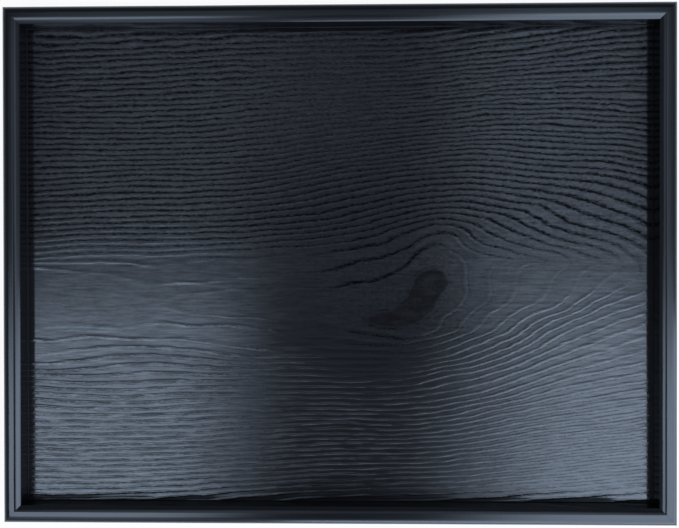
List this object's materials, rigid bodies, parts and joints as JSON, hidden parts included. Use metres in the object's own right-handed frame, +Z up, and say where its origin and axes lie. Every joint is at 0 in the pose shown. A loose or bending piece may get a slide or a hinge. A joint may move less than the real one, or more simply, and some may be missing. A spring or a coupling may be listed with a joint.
{
  "type": "serving tray",
  "caption": "Rectangular wooden serving tray: a veneered floor panel held in a low moulded rim with mitred corners, for carrying food and drink.",
  "frame": {"origin": "middle of the footprint, on the surface that the tray stands on", "axes": "+X along the long rails, +Y towards the rear long rail, +Z up out of the tray's open top"},
  "size_m": [0.35, 0.27, 0.02],
  "materials": {
    "stained_rail": "black stain under satin lacquer, fine straight grain",
    "stained_face_veneer": "black stain under thin satin lacquer, open coarse grain in relief",
    "stained_back_veneer": "black stain, matt, straight grain",
    "bare_ply": "bare plywood, hidden",
    "bare_beech": "bare wood, hidden"
  },
  "bodies": {
    "root": {"rail_front": "stained_rail", "rail_back": "stained_rail", "rail_left": "stained_rail", "rail_right": "stained_rail", "panel_face_veneer": "stained_face_veneer", "panel_back_veneer": "stained_back_veneer", "panel_core_ply_top": "bare_ply", "panel_core_ply_middle": "bare_ply", "panel_core_ply_bottom": "bare_ply", "mitre_tongue_front_left": "bare_beech", "mitre_tongue_front_right": "bare_beech", "mitre_tongue_back_right": "bare_beech", "mitre_tongue_back_left": "bare_beech"}
  },
  "joints": []
}
